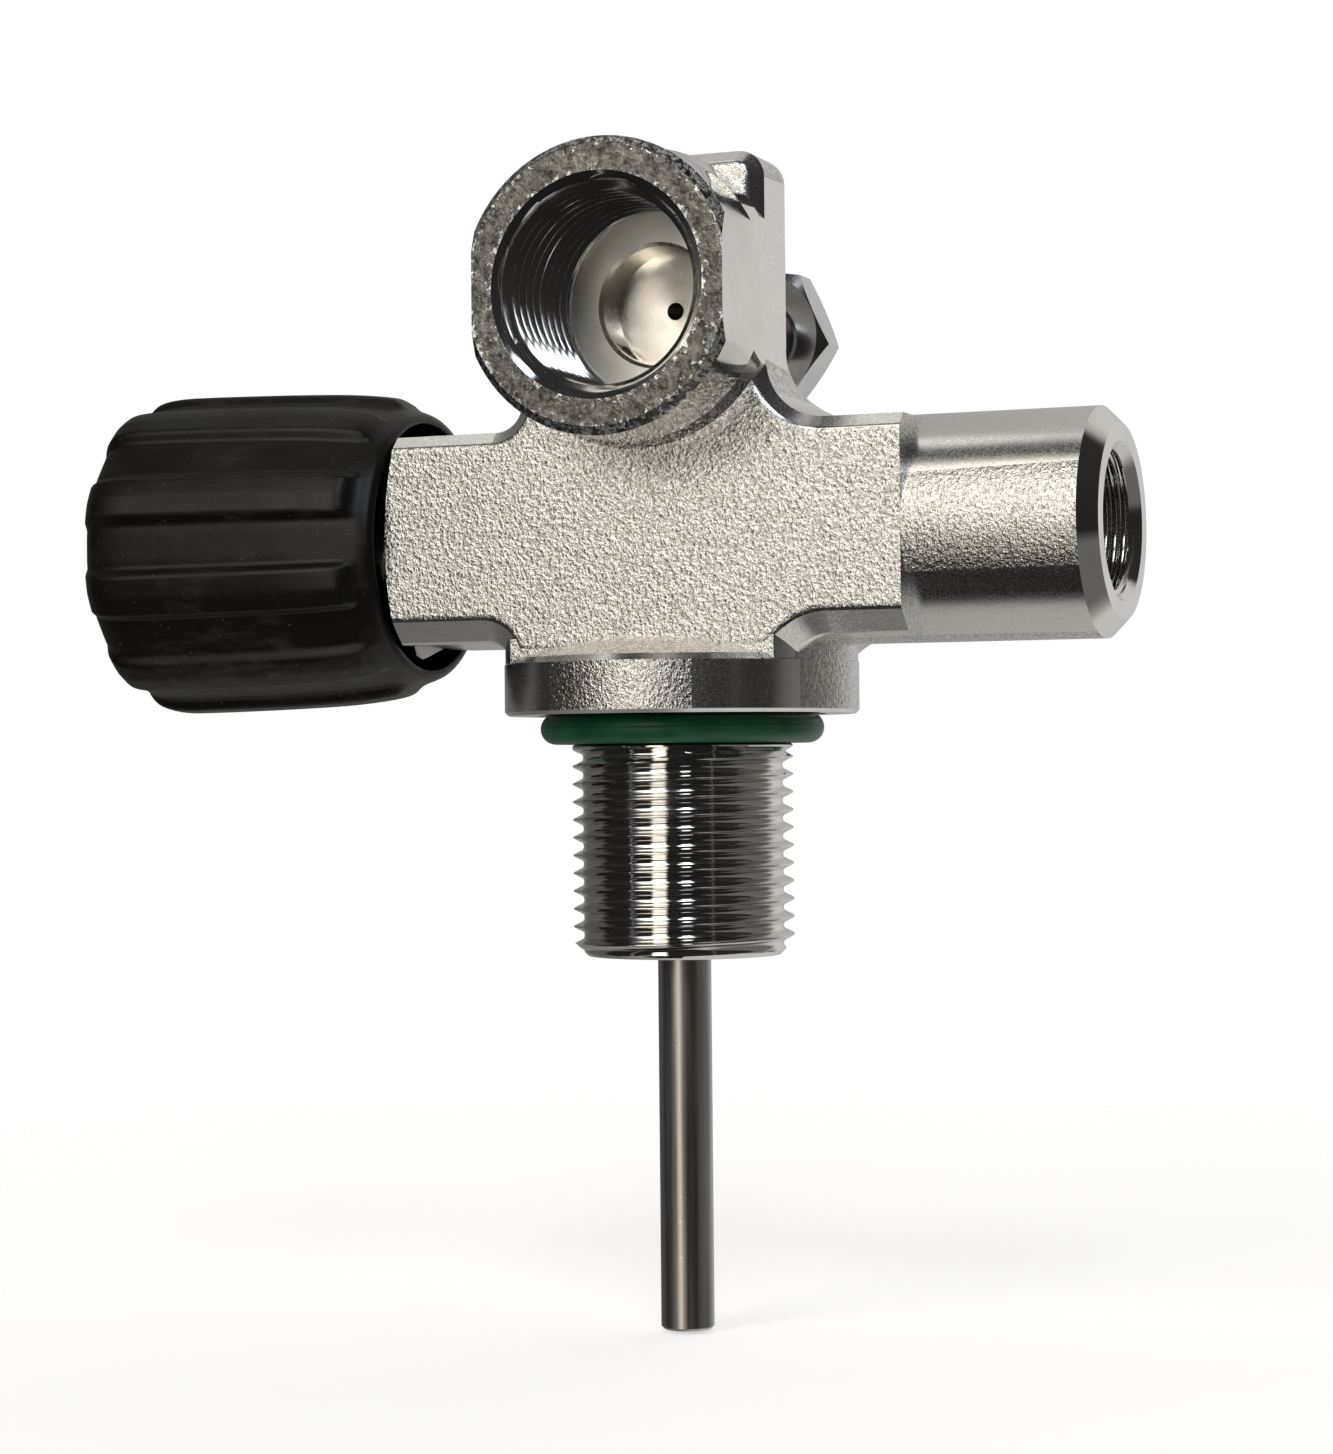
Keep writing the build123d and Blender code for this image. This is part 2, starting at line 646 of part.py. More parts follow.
def handwheel_pieces():
    """The rubber grip, its hard core on the spindle's square, and what holds and springs the core."""
    valley = RIB_HEIGHT
    cavity_end = WHEEL_END + 2.6
    cap_r = 12.0
    inside = [
        (WHEEL_OPEN, WHEEL_RECESS_R),
        (cavity_end, WHEEL_RECESS_R),
        (cavity_end, cap_r + 0.05),
        (WHEEL_END, cap_r + 0.05),
    ]
    outer = [
        (WHEEL_END, WHEEL_R - valley - 4.4),
        (WHEEL_END + 0.7, WHEEL_R - valley - 2.4),
        (WHEEL_END + 2.2, WHEEL_R - valley - 0.8),
        (WHEEL_END + 4.8, WHEEL_R - valley),
        (GRIP_WAIST_X, WHEEL_R - 0.5 - valley),
        (WHEEL_OPEN - 3.0, WHEEL_RIM_R - valley),
        (WHEEL_OPEN - 1.0, WHEEL_RIM_R - valley - 0.5),
        (WHEEL_OPEN, WHEEL_RIM_R - valley - 1.4),
    ]
    ribs = [
        (WHEEL_END + 0.2, WHEEL_RECESS_R - 1),
        (WHEEL_END + 0.2, WHEEL_R - 4.4),
        (WHEEL_END + 1.0, WHEEL_R - 2.1),
        (WHEEL_END + 2.6, WHEEL_R - 0.6),
        (WHEEL_END + 5.2, WHEEL_R),
        (GRIP_WAIST_X, WHEEL_R - 0.5),
        (RIB_END - 1.6, WHEEL_RIM_R + 0.1),
        (RIB_END, WHEEL_RIM_R - valley),
        (RIB_END, WHEEL_RECESS_R + 0.5),
        (cavity_end, WHEEL_RECESS_R + 0.5),
        (cavity_end, WHEEL_RECESS_R - 1),
    ]
    nodes["handwheel_grip"] = lobed(inside + outer, ribs)

    core = turned_x(
        [
            (cavity_end + 0.02, WHEEL_RECESS_R - STATIC_GAP),
            (-45.0, WHEEL_RECESS_R - STATIC_GAP),
            (-45.0, WHEEL_RECESS_R - 1.6),
            (WEB_INNER + 1, WHEEL_RECESS_R - 2.4),
            (WEB_INNER, WHEEL_RECESS_R - 3.4),
            (WEB_INNER, 0),
            (WEB_OUTER, 0),
            (WEB_OUTER, WHEEL_RECESS_R - 3.4),
            (cavity_end + 0.02, WHEEL_RECESS_R - 2.2),
        ]
    )
    core -= box_x(WEB_OUTER - 1, WEB_INNER + 1, SQUARE + 0.12, SQUARE + 0.12)
    nodes["handwheel_core"] = core
    nodes["handwheel_cap"] = turned_x(
        [
            (WHEEL_END + 0.4, 0),
            (WHEEL_END + 0.4, cap_r - 0.6),
            (WHEEL_END + 1.0, cap_r),
            (cavity_end, cap_r),
            (cavity_end, cap_r - 0.4),
            (cavity_end + 1.8, cap_r - 0.4),
            (cavity_end + 1.8, cap_r - 1.6),
            (cavity_end, cap_r - 1.6),
            (cavity_end, 0),
        ]
    )
    nodes["hub_washer"] = ring_x(WEB_OUTER - 1.2, WEB_OUTER, 5.8, 3.1)
    nut = hexagon_x(WEB_OUTER - 6.2, WEB_OUTER - 1.2, 10.0) - rod_x(-66, -50, 3.0 + STATIC_GAP)
    nodes["hub_nut"] = nut
    nodes["slip_washer"] = ring_x(-40.3, -39.5, 8.6, 4.85)
    spring_r = 6.2
    wire_r = 0.6
    spring_length = -41.0 - (WEB_INNER + 0.7)
    path = Helix(pitch=spring_length / 4, height=spring_length, radius=spring_r)
    section = Plane(path @ 0, z_dir=path % 0) * Circle(wire_r)
    spring = sweep(section, path=path, is_frenet=True)
    nodes["handwheel_spring"] = Pos(WEB_INNER + 0.7, 0, ARM_Z) * Rot(0, 90, 0) * spring


nodes["valve_body"] = valve_body()
neck_pieces()
rear_plug_pieces()
bonnet_pieces()
nodes["drive_spindle"] = spindle()
seat_pieces()
handwheel_pieces()

os.makedirs("parts", exist_ok=True)
for name, shape in nodes.items():
    export_step(shape, f"parts/{name}.step")
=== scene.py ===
"""Looks for the diving cylinder valve: cut threads, moulded grip, finishes, studio and camera.

Lengths are in millimetres, in the row frame, until a mesh is written; MM turns them into metres.
"""

import json
from collections import namedtuple
from math import atan2, cos, degrees, hypot, pi, radians, sin, tau

import bmesh
import bpy
from mathutils import Matrix, Vector


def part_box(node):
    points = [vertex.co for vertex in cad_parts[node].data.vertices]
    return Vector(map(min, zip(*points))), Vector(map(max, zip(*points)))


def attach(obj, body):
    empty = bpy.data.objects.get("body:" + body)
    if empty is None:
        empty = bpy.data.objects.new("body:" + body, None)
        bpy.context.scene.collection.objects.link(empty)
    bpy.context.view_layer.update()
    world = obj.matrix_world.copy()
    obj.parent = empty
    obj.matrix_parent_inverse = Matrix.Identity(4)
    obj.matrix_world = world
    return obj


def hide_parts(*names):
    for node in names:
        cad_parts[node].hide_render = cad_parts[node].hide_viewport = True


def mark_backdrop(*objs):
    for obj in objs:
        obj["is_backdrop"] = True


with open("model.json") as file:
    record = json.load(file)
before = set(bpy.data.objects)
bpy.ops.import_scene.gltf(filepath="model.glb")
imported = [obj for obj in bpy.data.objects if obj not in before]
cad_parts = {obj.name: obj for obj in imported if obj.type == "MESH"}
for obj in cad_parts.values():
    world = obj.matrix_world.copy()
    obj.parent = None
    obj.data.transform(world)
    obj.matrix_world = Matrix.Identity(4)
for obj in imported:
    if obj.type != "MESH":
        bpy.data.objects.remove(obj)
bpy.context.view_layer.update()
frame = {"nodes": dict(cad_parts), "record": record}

MM = 0.001

# --- places read from the frame ---
mounts = {mount["name"]: mount for mount in frame["record"]["mounts"]}
body_low, body_high = (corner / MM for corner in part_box("valve_body"))
grip_low, grip_high = (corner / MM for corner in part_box("handwheel_grip"))
ring_low, ring_high = (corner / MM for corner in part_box("neck_o_ring"))
tube_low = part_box("dip_tube")[0] / MM

NECK_CREST_R = mounts["neck_thread"]["dims"]["r_mm"]
NECK_END = body_low.z
OUTLET_MINOR_R = mounts["outlet"]["dims"]["r_mm"]
OUTLET_Z = mounts["outlet"]["pos_m"][2] / MM
OUTLET_MOUTH = body_low.y
PORT_MINOR_R = mounts["side_port"]["dims"]["r_mm"]
ARM_Z = mounts["side_port"]["pos_m"][2] / MM
PORT_END = body_high.x

# --- the body's faces, as the frame's solid has them ---
NECK_THREAD_TOP = -3.5
OUTLET_SEAT_Y = -6.5
PORT_THREAD_FLOOR = 36.7
BODY_HALF_Y = 12.5
ARM_TOP = 31.7
ARM_LEFT = -31.0
ARM_RIGHT = 30.0
COLLAR_CREST = 8.5
PORT_R = 12.5
PORT_LEAD = 1.95
MOUTH_INNER_R = OUTLET_MINOR_R + 1.5
MOUTH_MIDDLE_R = 13.7
OUTLET_HOLE_R = OUTLET_MINOR_R + 2.1

NECK_PITCH = 2.0
OUTLET_PITCH = 1.814
PORT_PITCH = 1.0
THREAD_COLUMNS = 180
FAR = 99.0
CAD_NORMAL = "cad_normal"


# ---------------------------------------------------------------- shader helpers


class NodeTree:
    """A node tree, with short calls for the nodes that the finishes and the dome share."""

    easing = "LINEAR"

    def __init__(self, tree):
        self.nodes = tree.nodes
        self.links = tree.links

    def add(self, kind, inputs, output=0, **settings):
        """Adds a node, sets or links its inputs and gives one of its outputs."""
        node = self.nodes.new(kind)
        for name, value in settings.items():
            setattr(node, name, value)
        for key, value in inputs.items():
            if isinstance(value, bpy.types.NodeSocket):
                self.links.new(value, node.inputs[key])
            else:
                node.inputs[key].default_value = value
        return node.outputs[output]

    def maths(self, operation, *values):
        return self.add("ShaderNodeMath", dict(enumerate(values)), operation=operation)

    def vectors(self, operation, *values, output=0):
        """Vector maths; a length or a dot product is output 1."""
        return self.add("ShaderNodeVectorMath", dict(enumerate(values)), output, operation=operation)

    def axis(self, vector, index):
        return self.add("ShaderNodeSeparateXYZ", {"Vector": vector}, index)

    def spread(self, value, low, high, to_low=0.0, to_high=1.0):
        """Maps low..high onto to_low..to_high, and holds the ends."""
        inputs = {"Value": value, "From Min": low, "From Max": high, "To Min": to_low, "To Max": to_high}
        return self.add("ShaderNodeMapRange", inputs, interpolation_type=self.easing)


class Finish(NodeTree):
    """One material, patterned in the object's own coordinates."""

    def __init__(self, name, colour, roughness, metallic=0.0, **settings):
        self.material = bpy.data.materials.new(name)
        self.material.use_nodes = True
        super().__init__(self.material.node_tree)
        self.surface = self.nodes["Principled BSDF"]
        self.put("Base Color", (*colour, 1.0))
        self.put("Roughness", roughness)
        self.put("Metallic", metallic)
        for socket, value in settings.items():
            self.put(socket.replace("_", " "), value)
        self.place = self.nodes.new("ShaderNodeTexCoord").outputs["Object"]

    def put(self, socket, value):
        """Sets one of the surface's own sockets, or links a node to it."""
        target = self.surface.inputs[socket]
        if isinstance(value, bpy.types.NodeSocket):
            self.links.new(value, target)
        else:
            target.default_value = value

    def stretched(self, scale):
        """The object's own coordinates, scaled along each axis, for streaks and turning marks."""
        return self.add("ShaderNodeMapping", {"Vector": self.place, "Scale": scale})

    def noise(self, per_metre, detail=2.0, roughness=0.5, vector=None, distortion=0.0):
        inputs = {
            "Vector": self.place if vector is None else vector,
            "Scale": per_metre,
            "Detail": detail,
            "Roughness": roughness,
            "Distortion": distortion,
        }
        return self.add("ShaderNodeTexNoise", inputs)

    def cells(self, per_metre):
        return self.add("ShaderNodeTexVoronoi", {"Vector": self.place, "Scale": per_metre})

    def blend(self, factor, first, second):
        """Mixes two colours, each a node's output or three numbers."""
        ends = [end if isinstance(end, bpy.types.NodeSocket) else (*end, 1.0) for end in (first, second)]
        return self.add("ShaderNodeMix", {0: factor, 6: ends[0], 7: ends[1]}, output=2, data_type="RGBA")

    def bump(self, height, depth_mm, strength=1.0, under=None):
        inputs = {"Height": height, "Distance": depth_mm * MM, "Strength": strength}
        if under is not None:
            inputs["Normal"] = under
        normal = self.add("ShaderNodeBump", inputs)
        self.put("Normal", normal)
        return normal


# ---------------------------------------------------------------- finishes


def blasted_chrome(name, grain, roughness, pits):
    """Nickel-chrome plating over a shot-blasted forging, with grains about half a millimetre wide."""
    finish = Finish(name, (0.78, 0.76, 0.72), roughness, metallic=1.0)
    grit = finish.noise(2100, detail=2.5, roughness=0.62)
    fine = finish.noise(4600, detail=1.0)
    patches = finish.noise(95, detail=3.0)
    tone = finish.blend(finish.spread(grit, 0.34, 0.64), pits, (0.90, 0.88, 0.84))
    cloud = finish.spread(patches, 0.3, 0.75, 0.0, 0.22)
    finish.put("Base Color", finish.blend(cloud, tone, (0.72, 0.69, 0.64)))
    finish.put("Roughness", finish.spread(fine, 0.3, 0.7, roughness - 0.05, roughness + 0.07))
    swell = finish.bump(patches, 0.10, 0.5)
    finish.bump(finish.maths("MULTIPLY_ADD", fine, 0.35, grit), 0.11 * grain, 1.0, under=swell)
    return finish.material


def bright_chrome(name, colour=(0.80, 0.785, 0.76), roughness=0.07, marks=(1.0, 1.0, 1.0)):
    """Bright plating over a machined face, with faint tool marks, hairline scratches and dull smears."""
    finish = Finish(name, colour, roughness, metallic=1.0)
    smears = finish.noise(130, detail=4.0, roughness=0.6)
    lines = finish.noise(700, detail=2.0, vector=finish.stretched(marks))
    specks = finish.spread(finish.cells(900), 0.0, 0.09, 1.0, 0.0)
    dull = finish.spread(smears, 0.42, 0.72, roughness, roughness + 0.13)
    finish.put("Roughness", finish.maths("ADD", dull, finish.maths("MULTIPLY", specks, 0.25)))
    duller = tuple(0.86 * channel for channel in colour)
    finish.put("Base Color", finish.blend(finish.spread(smears, 0.35, 0.75), colour, duller))
    wavy = finish.bump(smears, 0.02, 0.35)
    finish.bump(lines, 0.004, 0.5, under=wavy)
    return finish.material


def worn_mouth():
    """The outlet's end face: plating scraped by many connectors, dark and mottled with bright nicks."""
    finish = Finish("worn_mouth", (0.42, 0.40, 0.37), 0.3, metallic=1.0)
    mottle = finish.noise(1150, detail=4.0, roughness=0.68)
    wide = finish.noise(260, detail=2.0)
    centred = finish.vectors("ADD", finish.place, (0, 0, -OUTLET_Z * MM))
    flat = finish.vectors("MULTIPLY", centred, (1.0, 0.0, 1.0))
    radius = finish.vectors("LENGTH", flat, output=1)
    from_middle = finish.maths("ABSOLUTE", finish.maths("SUBTRACT", radius, MOUTH_MIDDLE_R * MM))
    edge = finish.spread(from_middle, 0.5 * MM, 1.5 * MM, 0.0, 0.16)
    side_on = finish.maths("ABSOLUTE", finish.axis(finish.place, 0))
    sides = finish.spread(side_on, 7 * MM, 14 * MM, 0.0, 0.06)
    scrape = finish.noise(1500, detail=3.0, roughness=0.6, distortion=0.5)
    nicks = finish.spread(finish.maths("ADD", finish.maths("ADD", scrape, edge), sides), 0.64, 0.76)
    dark = finish.blend(finish.spread(mottle, 0.36, 0.66), (0.05, 0.046, 0.042), (0.25, 0.235, 0.215))
    finish.put("Base Color", finish.blend(nicks, dark, (0.80, 0.78, 0.73)))
    finish.put("Roughness", finish.spread(wide, 0.35, 0.65, 0.2, 0.42))
    deep = finish.bump(mottle, 0.10, 0.9)
    finish.bump(nicks, 0.05, 0.8, under=deep)
    return finish.material


def drawn_steel():
    """The dip tube: drawn stainless steel with long streaks and a brownish cast."""
    finish = Finish("drawn_steel", (0.46, 0.42, 0.385), 0.24, metallic=1.0)
    streaks = finish.noise(1500, detail=3.0, vector=finish.stretched((1.0, 1.0, 0.02)))
    spots = finish.noise(1900, detail=2.0)
    tone = finish.blend(finish.spread(streaks, 0.3, 0.7), (0.42, 0.375, 0.34), (0.66, 0.62, 0.575))
    pale = finish.spread(spots, 0.66, 0.78, 0.0, 0.6)
    finish.put("Base Color", finish.blend(pale, tone, (0.70, 0.67, 0.63)))
    finish.put("Roughness", finish.spread(streaks, 0.3, 0.7, 0.26, 0.42))
    finish.bump(streaks, 0.012, 0.7)
    return finish.material


def seal_rubber(name, low, high, ring_z=None):
    """Moulded rubber for a seal: satin, fine-grained and dusty, with a flash line at a given height."""
    finish = Finish(name, low, 0.42, Specular_IOR_Level=0.45)
    cloud = finish.noise(420, detail=3.0)
    dust = finish.spread(finish.noise(3200, detail=1.0), 0.70, 0.78, 0.0, 0.2)
    tone = finish.blend(finish.spread(cloud, 0.3, 0.7), low, high)
    finish.put("Base Color", finish.blend(dust, tone, (0.30, 0.36, 0.31)))
    finish.put("Roughness", finish.spread(cloud, 0.3, 0.7, 0.36, 0.50))
    skin = finish.bump(finish.noise(2600, detail=2.0), 0.012, 0.5)
    if ring_z is not None:
        height = finish.axis(finish.place, 2)
        away = finish.maths("ABSOLUTE", finish.maths("SUBTRACT", height, ring_z * MM))
        finish.bump(finish.spread(away, 0.0, 0.13 * MM, 1.0, 0.0), 0.05, 0.8, under=skin)
    return finish.material


def grip_rubber():
    """The handwheel's moulded rubber: near-black satin, scuffed lighter in patches and dusty."""
    finish = Finish("grip_rubber", (0.012, 0.011, 0.010), 0.42, Specular_IOR_Level=0.34)
    patches = finish.noise(90, detail=4.0, roughness=0.62, distortion=0.3)
    scuffs = finish.noise(620, detail=4.0, roughness=0.7, vector=finish.stretched((0.35, 1.0, 1.0)))
    dust = finish.spread(finish.noise(2400, detail=1.0), 0.735, 0.79, 0.0, 0.30)
    rubbed = finish.maths("MULTIPLY", finish.spread(patches, 0.46, 0.68), finish.spread(scuffs, 0.44, 0.68))
    tone = finish.blend(rubbed, (0.0045, 0.0040, 0.0036), (0.036, 0.031, 0.027))
    finish.put("Base Color", finish.blend(dust, tone, (0.20, 0.19, 0.175)))
    finish.put("Roughness", finish.spread(finish.maths("ADD", patches, rubbed), 0.35, 1.3, 0.34, 0.58))
    pores = finish.bump(finish.noise(2900, detail=2.0), 0.022, 0.55)
    worn = finish.bump(scuffs, 0.03, 0.35, under=pores)
    finish.bump(patches, 0.12, 0.4, under=worn)
    return finish.material


def hard_plastic(name, low, high, roughness):
    """Moulded nylon or PTFE with a fine eggshell skin."""
    finish = Finish(name, low, roughness, Specular_IOR_Level=0.5)
    cloud = finish.noise(520, detail=3.0)
    finish.put("Base Color", finish.blend(finish.spread(cloud, 0.3, 0.7), low, high))
    finish.put("Roughness", finish.spread(cloud, 0.3, 0.7, roughness - 0.06, roughness + 0.08))
    finish.bump(finish.noise(3400, detail=2.0), 0.012, 0.6)
    return finish.material


def turned_metal(name, colour, roughness):
    """Metal off the lathe: rings across the arm's axis, a little stain and fine scratches."""
    finish = Finish(name, colour, roughness, metallic=1.0)
    rings = finish.noise(2600, detail=2.0, vector=finish.stretched((1.0, 0.02, 0.02)))
    stain = finish.noise(240, detail=4.0)
    stained = tuple(0.72 * channel for channel in colour)
    finish.put("Base Color", finish.blend(finish.spread(stain, 0.35, 0.7), colour, stained))
    finish.put("Roughness", finish.spread(stain, 0.3, 0.7, roughness - 0.05, roughness + 0.12))
    finish.bump(rings, 0.010, 0.7)
    return finish.material


# ---------------------------------------------------------------- the body, with real threads


def smoothed(value):
    value = min(1.0, max(0.0, value))
    return value * value * (3 - 2 * value)


def interpolated(points, at):
    """The value at a place along (place, value) points, which run upwards."""
    if at <= points[0][0]:
        return points[0][1]
    for (x0, y0), (x1, y1) in zip(points, points[1:]):
        if at <= x1:
            return y0 + (y1 - y0) * (at - x0) / (x1 - x0)
    return points[-1][1]


# One turn of a 60 degree thread, as (share of the pitch, share of the depth), with rounded crest and root.
TURN = [
    (0.0, 0.0),
    (0.035, 0.02),
    (0.07, 0.10),
    (0.20, 0.55),
    (0.31, 0.90),
    (0.40, 0.985),
    (0.50, 1.0),
    (0.60, 0.985),
    (0.69, 0.90),
    (0.80, 0.55),
    (0.93, 0.10),
    (0.965, 0.02),
]


class Thread:
    """A right-handed thread on the body, cut between two places along its axis."""

    def __init__(self, finish, centre, along, across, low, high, pitch, crest_r, root_r, lead, fades):
        self.finish = finish
        self.centre = Vector(centre)
        self.along = Vector(along)
        self.across = Vector(across)
        self.third = self.along.cross(self.across)
        self.low = low
        self.high = high
        self.pitch = pitch
        self.crest_r = crest_r
        self.root_r = root_r
        self.lead = lead
        self.fades = fades
        self.inside = root_r > crest_r

    def polar(self, point):
        """(place along the axis, radius, angle) of a point."""
        offset = point - self.centre
        u, v = offset.dot(self.across), offset.dot(self.third)
        return offset.dot(self.along), hypot(u, v), atan2(v, u)

    def point(self, at, radius, angle):
        out = self.across * cos(angle) + self.third * sin(angle)
        return self.centre + self.along * at + out * radius

    def radius(self, at, depth_share):
        """The surface's radius, with the depth fading out at the ends and the lead-in cone cut over it."""
        fade = 1.0
        low_fade, high_fade = self.fades
        if low_fade:
            fade *= smoothed((at - self.low) / low_fade)
        if high_fade:
            fade *= smoothed((self.high - at) / high_fade)
        radius = self.crest_r + (self.root_r - self.crest_r) * depth_share * fade
        cone = interpolated(self.lead, at)
        return max(radius, cone) if self.inside else min(radius, cone)

    def holds(self, point):
        """Whether a face with this middle is one of those the cut thread takes the place of."""
        at, radius, _ = self.polar(point)
        near = 0.9
        slack = 1e-3
        radii = [self.crest_r, self.root_r] + [r for _, r in self.lead if 0 < r < FAR]
        between = self.low + slack < at < self.high - slack
        return between and min(radii) - near < radius < max(radii) + near


def helical_band(mesh, thread, finish_index):
    """Adds the thread's surface, whose rows of points follow the helix, and gives its two end rings."""
    inset = 0.15
    low, high = thread.low + inset, thread.high - inset
    per_turn = len(TURN)
    turns = int((high - low) / thread.pitch) + 3
    made = {}

    def vertex(column, row):
        if column == THREAD_COLUMNS:
            column, row = 0, row + per_turn
        share, depth = TURN[row % per_turn]
        at = low + thread.pitch * (row // per_turn - 1 + share + column / THREAD_COLUMNS)
        key = (column, row)
        if at <= low:
            key, at = (column, "low"), low
        elif at >= high:
            key, at = (column, "high"), high
        if key not in made:
            angle = tau * column / THREAD_COLUMNS
            made[key] = mesh.verts.new(thread.point(at, thread.radius(at, depth), angle))
        return made[key]

    for column in range(THREAD_COLUMNS):
        for row in range(turns * per_turn):
            corners = [
                vertex(column, row),
                vertex(column + 1, row),
                vertex(column + 1, row + 1),
                vertex(column, row + 1),
            ]
            ring = list(dict.fromkeys(corners))
            if len(ring) > 2:
                face = mesh.faces.new(ring)
                face.material_index = finish_index
    return [[made[(column, end)] for column in range(THREAD_COLUMNS)] for end in ("low", "high")]


def zipped(mesh, thread, first, second, finish_index):
    """Joins two rings round the thread's axis, which differ in their number of points, by triangles."""

    def by_angle(ring):
        placed = [(thread.polar(vertex.co)[2] % tau, vertex) for vertex in ring]
        return sorted(placed, key=lambda item: item[0])

    rings = [by_angle(first), by_angle(second)]
    place = [0, 0]

    def reached(side, step=0):
        count = place[side] + step
        lap, index = divmod(count, len(rings[side]))
        return rings[side][index][0] + lap * tau, rings[side][index][1]

    while place[0] < len(rings[0]) or place[1] < len(rings[1]):
        done = [place[side] >= len(rings[side]) for side in (0, 1)]
        ahead = [reached(side, 1)[0] for side in (0, 1)]
        side = 0 if done[1] or (not done[0] and ahead[0] <= ahead[1]) else 1
        corners = [reached(0)[1], reached(1)[1], reached(side, 1)[1]]
        mesh.faces.new(corners).material_index = finish_index
        place[side] += 1


BODY_FINISHES = ["forged", "machined", "satin", "mouth", "bore", "lapped_and_painted_bright"]


def body_finish(middle, normal):
    """Which of BODY_FINISHES a face of the body takes, from where it is and where it faces."""
    slack = 0.01
    mouth_band = 0.85
    neck_top = 0.35
    arm_end_band = 0.9
    chamfer_band = 2.9
    outlet_r = hypot(middle.x, middle.z - OUTLET_Z)
    arm_r = hypot(middle.y, middle.z - ARM_Z)
    in_outlet = outlet_r < OUTLET_HOLE_R
    if middle.y < OUTLET_MOUTH + mouth_band and outlet_r > MOUTH_INNER_R:
        return "mouth"
    if middle.z < neck_top:
        return "machined"
    # The outlet's seat face gets a rougher, lapped chrome whose colour is also painted brighter than the
    # other chrome: painted light on the seat.
    if in_outlet and abs(middle.y - OUTLET_SEAT_Y) < 0.1 and normal.y < -0.9:
        return "lapped_and_painted_bright"
    # The outlet's bore gets a chrome painted brighter and creamier than the machined chrome: painted light
    # inside the outlet.
    if in_outlet and middle.y < BODY_HALF_Y - slack:
        return "bore"
    if in_outlet and middle.y > BODY_HALF_Y + slack:
        return "machined"
    if middle.y < -BODY_HALF_Y - slack and middle.z > ARM_Z:
        return "machined"
    if middle.x > PORT_END - PORT_LEAD or (middle.x > ARM_RIGHT and arm_r < PORT_R - 1):
        return "machined"
    if arm_r < PORT_R - 1.2 and middle.x < ARM_LEFT + arm_end_band:
        return "machined"
    upright = abs(normal.z) < 0.05
    outward = middle.x * normal.x > 0
    if upright and outward and abs(normal.x) > 0.3 and middle.z > ARM_TOP + 1:
        return "satin"
    if abs(normal.z) > 0.6 and middle.z > COLLAR_CREST - 0.4:
        return "satin"
    if 0.5 < abs(normal.y) < 0.9 and abs(middle.y) > BODY_HALF_Y - chamfer_band and abs(normal.x) < 0.9:
        return "satin"
    return "forged"


def threads():
    """The body's three threads, each with a lead-in cone as (place, radius) points."""
    neck = Thread(
        finish="machined",
        centre=(0, 0, 0),
        along=(0, 0, 1),
        across=(1, 0, 0),
        low=NECK_END,
        high=NECK_THREAD_TOP,
        pitch=NECK_PITCH,
        crest_r=NECK_CREST_R,
        root_r=NECK_CREST_R - 1.2,
        lead=[(NECK_END, NECK_CREST_R - 1.6), (NECK_END + 1.4, NECK_CREST_R - 0.2), (NECK_END + 1.6, FAR)],
        fades=(0, 0.9),
    )
    outlet = Thread(
        finish="machined",
        centre=(0, 0, OUTLET_Z),
        along=(0, 1, 0),
        across=(0, 0, 1),
        low=OUTLET_MOUTH,
        high=OUTLET_SEAT_Y,
        pitch=OUTLET_PITCH,
        crest_r=OUTLET_MINOR_R,
        root_r=OUTLET_MINOR_R + 1.06,
        lead=[
            (OUTLET_MOUTH, OUTLET_MINOR_R + 1.9),
            (OUTLET_MOUTH + 0.5, OUTLET_MINOR_R + 1.15),
            (OUTLET_MOUTH + 1.5, OUTLET_MINOR_R),
            (OUTLET_MOUTH + 4, 0),
        ],
        fades=(0, 1.6),
    )
    port = Thread(
        finish="machined",
        centre=(0, 0, ARM_Z),
        along=(1, 0, 0),
        across=(0, 1, 0),
        low=PORT_THREAD_FLOOR,
        high=PORT_END,
        pitch=PORT_PITCH,
        crest_r=PORT_MINOR_R,
        root_r=PORT_MINOR_R + 0.47,
        lead=[(PORT_END - 2, 0), (PORT_END - 1.3, PORT_MINOR_R), (PORT_END, PORT_MINOR_R + 1.16)],
        fades=(1.0, 0),
    )
    return [neck, outlet, port]


